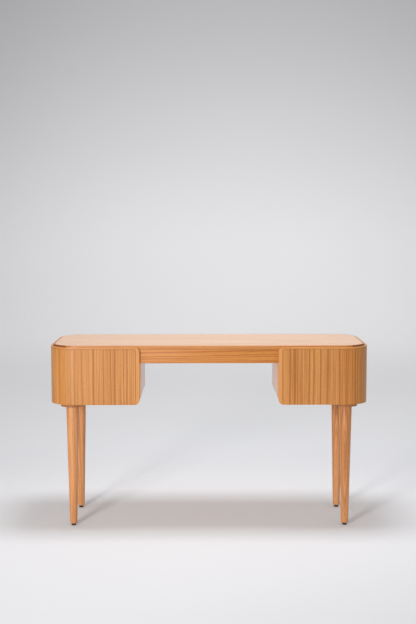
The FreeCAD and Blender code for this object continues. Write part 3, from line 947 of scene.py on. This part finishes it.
@dataclass
class DrawerFront:
    """Bent veneered panel with solid lippings, left and right."""

    bend: float = 100 * MM
    knee_corner: float = 20 * MM
    rear_corner: float = 8 * MM
    field_corner: float = 9 * MM
    edge_round: float = 2.5 * MM
    joint: float = 0.8 * MM
    bend_steps: int = 32
    leaves: dict[str, Point] = field(
        default_factory=lambda: {"left": (0.31, 0.0, 0.0), "right": (1.47, 0.71, 0.02)}
    )

    def build(self) -> None:
        """Makes the field and the four lippings of both fronts."""
        core_low, core_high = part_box("left_drawer_shell")
        knee_low, knee_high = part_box("left_knee_lipping")
        rear_low, rear_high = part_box("left_rear_lipping")
        low = Vector((core_low.x, core_low.y, knee_low.z))
        high = Vector((knee_high.x, rear_high.y, knee_high.z))
        thickness = knee_high.y - knee_low.y
        path = PlanPath.rounded([(high.x, low.y), (low.x, low.y), (low.x, high.y)], [0.0, self.bend, 0.0])
        grow = self.joint / 2
        inner_low = Vector((low.x, low.y, core_low.z - grow))
        inner_high = Vector((core_high.x + grow, core_high.y + grow, core_high.z + grow))

        panel = self.panel("lipping_blank", low, high, thickness, self.knee_corner, self.rear_corner)
        panel.bevel(self.outer_rim(low, high), self.edge_round, 5)
        spread = Vector((1, 1, 0)) * MM
        window = self.panel(
            "window_tool", inner_low - spread, inner_high, thickness + 2 * MM,
            self.field_corner, self.field_corner, self.bend + MM,
        )
        panel.cut(window)
        window.scrap()
        self.build_lippings(panel, core_low, core_high, path)
        corner = self.field_corner - self.joint
        field_high = inner_high - Vector((1, 1, 1)) * self.joint
        field_piece = self.panel("left_front_field", inner_low, field_high, thickness, corner, corner)
        field_piece.close().smooth()
        for side, piece in (("left", field_piece), ("right", field_piece.mirrored("right_front_field"))):
            piece.grain(self.leaf(side, path)).dress(FRONT_VENEER)
            piece.hand_over(side + "_drawer", "front_veneer", side + "_drawer_shell")

    def leaf(self, side: str, path: PlanPath) -> GrainLayout:
        """Lays a leaf of upright veneer round the bend of one side."""
        return GrainLayout("z", "s", self.leaves[side], path, fold=True)

    def panel(
        self, name: str, low: Vector, high: Vector, thickness: float, knee: float, rear: float,
        bend: Optional[float] = None,
    ) -> Piece:
        """Makes a bent panel: a straight front, a round corner and a straight side.

        Args:
            name: The piece's name.
            low: Outer corner of the bend, at the panel's lower edge.
            high: Knee end, rear end and upper edge.
            thickness: The panel's thickness.
            knee: Corner radius at the knee end.
            rear: Corner radius at the rear end.
            bend: Outer radius of the bend, the front's own where left out.

        Returns:
            The panel.
        """
        bend = self.bend if bend is None else bend
        turn_x, turn_y = low.x + bend, low.y + bend
        piece = Piece.block(name, (turn_x, low.y, low.z), (high.x, low.y + thickness, high.z))
        piece.pick_faces(lambda m, n: abs(m.x - turn_x) < HAIR and n.x < -0.9)
        bpy.ops.mesh.spin(
            steps=self.bend_steps, angle=math.pi / 2, center=(turn_x, turn_y, 0.0), axis=(0.0, 0.0, 1.0)
        )
        piece.pick_faces(lambda m, n: abs(m.y - turn_y) < HAIR)
        bpy.ops.mesh.extrude_region_move(TRANSFORM_OT_translate={"value": (0.0, high.y - turn_y, 0.0)})
        if piece.pick_faces(lambda m, n: min(abs(m.x - turn_x), abs(m.y - turn_y)) < HAIR):
            bpy.ops.mesh.delete(type="FACE")
        piece.close()
        piece.bevel(lambda m, d: abs(d.y) > 0.99 and m.x > high.x - HAIR, knee, 10)
        return piece.bevel(lambda m, d: abs(d.x) > 0.99 and m.y > high.y - HAIR, rear, 6)

    def outer_rim(self, low: Vector, high: Vector) -> Test:
        """Picks the edges round the outer face of the whole panel.

        Args:
            low: Outer corner of the bend, at the lower edge.
            high: Knee end, rear end and upper edge.

        Returns:
            A test for edges.
        """
        turn = Vector((low.x + self.bend, low.y + self.bend))

        def test(middle: Vector, direction: Vector) -> bool:
            """Says yes on the rim of the outer face."""
            if middle.x > turn.x:
                outer = abs(middle.y - low.y) < 0.05 * MM
            elif middle.y > turn.y:
                outer = abs(middle.x - low.x) < 0.05 * MM
            else:
                radius = (Vector((middle.x, middle.y)) - turn).length
                outer = abs(radius - self.bend) < 0.2 * MM
            level = min(middle.z - low.z, high.z - middle.z) < self.knee_corner
            knee = middle.x > high.x - self.knee_corner - HAIR
            rear = middle.y > high.y - self.rear_corner - HAIR
            inner_line = abs(direction.z) > 0.99 and not (
                abs(middle.x - high.x) < HAIR or abs(middle.y - high.y) < HAIR
            )
            return outer and (level or knee or rear) and not inner_line

        return test

    def build_lippings(self, panel: Piece, core_low: Vector, core_high: Vector, path: PlanPath) -> None:
        """Saws the frame round the field into its four strips; the field's veneer covers the lower one.

        Args:
            panel: The frame.
            core_low: Lowest corner of the field.
            core_high: Highest corner of the field.
            path: The bend's line in plan.
        """
        knee = ((core_high.x + self.joint, 0, 0), (1, 0, 0))
        rear = ((0, core_high.y + self.joint, 0), (0, 1, 0))
        middle = ((0, 0, (core_low.z + core_high.z) / 2), (0, 0, 1))
        between = [(*knee, "behind"), (*rear, "behind")]
        saws = {
            "knee_lipping": [(*knee, "ahead")],
            "rear_lipping": [(*rear, "ahead")],
            "top_lipping": [*between, (*middle, "ahead")],
            "bottom_lipping": [*between, (*middle, "behind")],
        }
        for number, (name, cuts) in enumerate(saws.items()):
            strip = panel.copy("left_" + name + "_strip")
            for cut in cuts:
                strip.bisect(*cut)
            strip.close().smooth()
            twin = strip.mirrored("right_" + name + "_strip")
            for side, piece in (("left", strip), ("right", twin)):
                shift = (0.17 * number + (0.9 if side == "right" else 0.0), 0.05 * number, 0.0)
                if name == "bottom_lipping":
                    piece.grain(self.leaf(side, path)).dress(FRONT_VENEER)
                else:
                    along, across = ("s", "z") if name == "top_lipping" else ("z", "s")
                    # Painted light: these lippings get the lighter teak.
                    piece.grain(GrainLayout(along, across, shift, path, fold=True)).dress(PAINTED_LIGHT_SHELL_LIPPING)
                piece.hand_over(side + "_drawer", "solid_teak", f"{side}_{name}")
        panel.scrap()


# ------------------------------------------------------------------ pedestal cases


@dataclass
class CasePanel:
    """Veneered board of a case, its narrow faces banded in solid wood."""

    part: str
    shift: Point
    ease: float = 0.6 * MM

    def build(self) -> None:
        """Makes the left board from its node's box, and its right-hand twin."""
        low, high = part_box("left_" + self.part)
        board = Piece.block(f"left_{self.part}_board", low, high)
        board.bevel(lambda m, d: True, self.ease, 2).close().smooth()
        twin = board.mirrored(f"right_{self.part}_board")
        for side, piece in (("left", board), ("right", twin)):
            shift = tuple(value + (0.37 if side == "right" else 0.0) for value in self.shift)
            piece.grain(GrainLayout("z", "y", shift)).dress(CASE_VENEER)
            piece.dress_faces(LIPPING_TEAK, lambda m, n: abs(n.x) < 0.5)
            piece.hand_over(BODY, "case_veneer", f"{side}_{self.part}")


@dataclass
class LegRail:
    """Board with half-round ends that carries the two legs of a pedestal."""

    lower_round: float = 4 * MM
    upper_ease: float = 0.8 * MM

    def build(self) -> None:
        """Makes the left rail from its node's box, and its right-hand twin."""
        low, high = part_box("left_leg_rail")
        radius = (high.x - low.x) / 2 - 0.02 * MM
        rail = Piece.block("left_leg_rail_board", low, high).bevel(upright, radius, 28)
        rail.bevel(level_at(low.z), self.lower_round, 5)
        rail.bevel(level_at(high.z), self.upper_ease, 2)
        rail.close().smooth()
        twin = rail.mirrored("right_leg_rail_board")
        for side, piece in (("left", rail), ("right", twin)):
            shift = (0.2, 0.61 if side == "left" else -0.52, 0.0)
            # Painted shade: the rails get the darker teak.
            piece.grain(GrainLayout("y", "x", shift)).dress(PAINTED_SHADE_RAIL_TEAK)
            piece.hand_over(BODY, "solid_teak", side + "_leg_rail")


@dataclass
class Legs:
    """Four turned legs and the glides under them."""

    foot_radius: float = 15.0 * MM
    foot_round: float = 4.5 * MM
    top_round: float = 1.2 * MM
    swell: float = 1.012
    glide_round: float = 2.6 * MM
    glide_rim: float = 1.2 * MM
    sides: int = 72
    swell_at: tuple[float, ...] = (0.2, 0.4, 0.6, 0.8)
    turns: dict[str, Point] = field(
        default_factory=lambda: {
            "left_front": (0.00, 0.006, 0.004),
            "right_front": (0.21, -0.017, 0.003),
            "left_rear": (0.35, 0.011, -0.004),
            "right_rear": (0.62, -0.004, 0.009),
        }
    )

    def build(self) -> None:
        """Makes every leg and glide at its node."""
        for place, shift in self.turns.items():
            self.build_leg(place, shift)
            self.build_glide(place)

    def build_leg(self, place: str, shift: Point) -> None:
        """Turns one leg.

        Args:
            place: Which leg.
            shift: Its place in the wood.
        """
        low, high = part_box(place + "_leg")
        middle = (low + high) / 2
        head = (high.x - low.x) / 2
        height = high.z - low.z
        centre = (middle.x, middle.y, low.z)
        leg = Piece.cone(place + "_leg_turned", centre, self.foot_radius, head, height, self.sides)
        for share in self.swell_at:
            leg.bisect((0, 0, low.z + share * height), (0, 0, 1))
        self.fatten(leg, middle, low.z, height)
        leg.bevel(level_at(low.z), self.foot_round, 6)
        leg.bevel(level_at(high.z), self.top_round, 2)
        leg.close().smooth()
        heart = (shift[0], shift[1] - middle.x, shift[2] - middle.y)
        leg.grain(GrainLayout("z", "x", heart, turned=place == "right_front")).dress(LEG_TEAK)
        leg.hand_over(BODY, "leg_teak", place + "_leg")

    def fatten(self, leg: Piece, middle: Vector, foot: float, height: float) -> None:
        """Swells the middle of the taper a little, as a hand-finished leg has.

        Args:
            leg: The leg.
            middle: The middle of its box.
            foot: Height of its lower end.
            height: Its length.
        """
        for share in self.swell_at:
            level = foot + share * height
            swell = 1 + (self.swell - 1) * math.sin(math.pi * share)
            mesh = leg.edit("VERT")
            for corner in mesh.verts:
                corner.select_set(abs(corner.co.z - level) < TOUCH)
            bmesh.update_edit_mesh(leg.obj.data)
            bpy.ops.transform.resize(value=(swell, swell, 1), center_override=(middle.x, middle.y, level))
        leg.clear()

    def build_glide(self, place: str) -> None:
        """Makes one glide button with a raised wearing ring.

        Args:
            place: Which leg it is under.
        """
        low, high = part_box(place + "_glide")
        leg_low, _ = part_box(place + "_leg")
        middle = (low + high) / 2
        radius = (high.x - low.x) / 2
        height = leg_low.z - low.z
        glide = Piece.cone(place + "_glide_button", (middle.x, middle.y, low.z), radius, radius, height, 48)
        glide.bevel(level_at(low.z), self.glide_round, 5)
        glide.inset(lambda m, n: n.z < -0.99, self.glide_rim)
        glide.inset(lambda m, n: n.z < -0.99 and m.z < low.z + TOUCH, self.glide_rim)
        glide.close().smooth().dress(BLACK_GLIDE)
        glide.hand_over(BODY, "glide_black", place + "_glide")


# ------------------------------------------------------------------ pieces kept from the frame


@dataclass(frozen=True)
class KeptNodes:
    """CAD nodes whose shape is right, with their finish."""

    finish: Finish
    nodes: tuple[str, ...]
    pair: bool = True

    def dress(self) -> None:
        """Gives each node its finish."""
        names = self.nodes
        if self.pair:
            names = tuple(f"{side}_{node}" for side in ("left", "right") for node in self.nodes)
        for name in names:
            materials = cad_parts[name].data.materials
            materials.clear()
            materials.append(self.finish.build())
            LOG.info("%s: kept, in %s", name, self.finish.name)


KEPT = (
    KeptNodes(BEECH_Y, ("top_cleats", "drawer_runners", "drawer_inner_side", "drawer_outer_side")),
    KeptNodes(BEECH_X, ("drawer_back", "drawer_batten")),
    KeptNodes(PLY_X, ("drawer_bottom", "case_bottom")),
    KeptNodes(PLY_Z, ("case_back",)),
    KeptNodes(ZINC_STEEL, ("drawer_screws",)),
    KeptNodes(BEECH_X, ("apron_glue_blocks", "apron_dowels"), pair=False),
    KeptNodes(ZINC_STEEL, ("top_screws", "runner_screws", "rail_screws", "leg_bolts"), pair=False),
)


# ------------------------------------------------------------------ studio


COOL = (0.95, 0.985, 1.05)
WARM = (1.03, 1.0, 0.97)


@dataclass(frozen=True)
class Fade:
    """A smooth change of brightness between two places along the sweep."""

    amount: float
    begin: float
    end: float


@dataclass
class Studio:
    """Pale floor, soft lights, pale surroundings and the camera.

    The paper's grey holds painted light: it is palest from under the table to a little behind it,
    with painted shade towards its sides. Further back it also glows with painted light of its own,
    which rises over the floor and fades towards the top of the wall.
    """

    width: float = 40.0
    floor_front: float = -14.0
    cove_start: float = 6.5
    cove_radius: float = 2.5
    wall_height: float = 7.0
    paper_grey: float = 0.755
    # Painted light: the paper's grey rises under the table and falls further back, as the lamps' light
    # would.
    painted_light_fades: tuple[Fade, ...] = (Fade(0.14, -1.5, 0.0), Fade(-0.155, 1.3, 3.0))
    # Painted light: the paper glows with light of its own, though it is no lamp.
    painted_glow_fades: tuple[Fade, ...] = (Fade(0.235, 0.7, 3.1), Fade(0.10, 3.1, 7.4), Fade(-0.335, 9.1, 14.1))
    blue: float = 1.01
    # Painted shade: the paper darkens towards its sides, more on the left.
    painted_side_shade_fall: float = 0.020
    painted_side_shade_lean: float = 0.022
    painted_side_shade_limit: float = 0.22
    air: Colour = (0.52, 0.52, 0.53)
    camera_place: Point = (-0.0264, -4.6455, 1.2805)
    camera_down: float = 4.953
    camera_turn: float = -0.286
    camera_roll: float = 0.05
    lens: float = 63.69

    def build(self) -> None:
        """Sets up the sweep, the surroundings, the lights and the camera."""
        self.build_sweep()
        self.build_world()
        self.light("overhead_softbox", (0.10, -0.08, 2.75), (0.10, -0.08, 0.0), (0.9, 0.7), 31.0, COOL)
        self.light("key_softbox", (-1.95, -4.35, 1.45), (0.0, 0.0, 0.5), (0.8, 0.8), 124.0, WARM)
        self.build_camera()

    def build_sweep(self) -> None:
        """Lays a pale floor that sweeps up into the backdrop without a corner."""
        Piece.clear()
        bpy.ops.mesh.primitive_plane_add(size=1.0)
        sweep = Piece.named("studio_sweep")
        length = self.cove_start - self.floor_front
        sweep.edit("VERT")
        bpy.ops.mesh.select_all(action="SELECT")
        bpy.ops.transform.resize(value=(self.width, length, 1))
        bpy.ops.transform.translate(value=(0, self.floor_front + length / 2, 0))
        sweep.pick_edges(lambda m, d: m.y > self.cove_start - MM and abs(d.x) > 0.99)
        centre = (0, self.cove_start, self.cove_radius)
        bpy.ops.mesh.spin(steps=48, angle=-math.pi / 2, center=centre, axis=(1, 0, 0))
        sweep.pick_edges(lambda m, d: m.z > self.cove_radius - MM and abs(d.x) > 0.99)
        bpy.ops.mesh.extrude_region_move(TRANSFORM_OT_translate={"value": (0, 0, self.wall_height)})
        sweep.close().smooth(60.0)
        sweep.obj.data.materials.append(self.paper())

    def paper(self) -> bpy.types.Material:
        """Makes the backdrop paper, darker towards its upper end and its sides, as painted light and shade.

        Returns:
            The paper's material.
        """
        graph = Graph("studio_paper_painted_light")
        place = graph.add("ShaderNodeTexCoord").outputs["Object"]
        x, y, z = graph.split(place)
        distance = graph.math("ADD", y, z)
        # Painted shade: darker towards the sides of the paper, more on the left.
        side = graph.math("MULTIPLY", graph.math("MULTIPLY", x, x), self.painted_side_shade_fall)
        side = graph.math("SUBTRACT", side, graph.math("MULTIPLY", x, self.painted_side_shade_lean))
        side = graph.math("MINIMUM", side, self.painted_side_shade_limit)
        cloud = graph.noise(place, (0.8, 0.8, 0.8), detail=2.0)
        side = graph.math("ADD", side, graph.math("MULTIPLY", cloud, 0.02))
        grit = graph.noise(place, (300.0, 300.0, 300.0), detail=1.0)
        black = (0.0, 0.0, 0.0)
        # Painted light: the paper's grey and its glow are graded along the sweep.
        graph.surface(
            base=graph.mix(side, self.grey(graph, distance, self.paper_grey, self.painted_light_fades), black),
            rough=0.7,
            bump=graph.bump(grit, 0.02, 0.0002),
            settings={"Specular IOR Level": 0.2, "Emission Strength": 1.0},
            glow=graph.mix(side, self.grey(graph, distance, 0.0, self.painted_glow_fades), black),
        )
        return graph.material

    def grey(self, graph: Graph, distance: object, start: float, fades: tuple[Fade, ...]) -> object:
        """Grades a grey along the sweep.

        Args:
            graph: The node graph under work.
            distance: Distance along the sweep.
            start: Brightness at its front end.
            fades: Its changes further along.

        Returns:
            The graded colour.
        """
        level = start
        for fade in fades:
            change = graph.math("MULTIPLY", graph.ramp(distance, fade.begin, fade.end), fade.amount)
            level = graph.math("ADD", level, change)
        return graph.join(level, level, graph.math("MULTIPLY", level, self.blue))

    def build_world(self) -> None:
        """Surrounds the studio with even pale light."""
        world = bpy.data.worlds.new("studio")
        bpy.context.scene.world = world
        world.use_nodes = True
        background = world.node_tree.nodes["Background"]
        background.inputs["Color"].default_value = (*self.air, 1.0)
        background.inputs["Strength"].default_value = 1.0

    def light(
        self, name: str, place: Point, target: Point, size: tuple[float, float], watts: float, tint: Colour,
    ) -> None:
        """Hangs one soft rectangular light.

        Args:
            name: The light's name.
            place: Where it hangs.
            target: What it points at.
            size: Its width and height.
            watts: Its power.
            tint: Its colour.
        """
        data = bpy.data.lights.new(name, "AREA")
        data.shape = "RECTANGLE"
        data.size, data.size_y = size
        data.energy = watts
        data.color = tint
        lamp = bpy.data.objects.new(name, data)
        lamp.location = place
        lamp.rotation_euler = (Vector(target) - Vector(place)).to_track_quat("-Z", "Y").to_euler()
        bpy.context.scene.collection.objects.link(lamp)

    def build_camera(self) -> None:
        """Places the camera at a standing viewer's height, a little above the table."""
        data = bpy.data.cameras.new("camera")
        data.lens = self.lens
        data.clip_end = 200.0
        camera = bpy.data.objects.new("camera", data)
        camera.location = self.camera_place
        turns = (90.0 - self.camera_down, self.camera_roll, self.camera_turn)
        camera.rotation_euler = tuple(math.radians(turn) for turn in turns)
        bpy.context.scene.collection.objects.link(camera)
        bpy.context.scene.camera = camera
        bpy.context.scene.view_settings.view_transform = "Standard"


def main() -> None:
    """Builds the sub-assemblies in order, then dresses the kept nodes and sets up the studio."""
    TableTop().build()
    Apron("front_apron", (0.9, -0.68, 0.0)).build()
    Apron("rear_apron", (2.1, -0.71, 0.0)).build()
    DrawerFront().build()
    CasePanel("case_inner_side", (0.1, 0.05, 0.0)).build()
    CasePanel("case_outer_side", (0.6, 0.45, 0.0)).build()
    LegRail().build()
    Legs().build()
    for group in KEPT:
        group.dress()
    Studio().build()


if __name__ == "__main__":
    main()
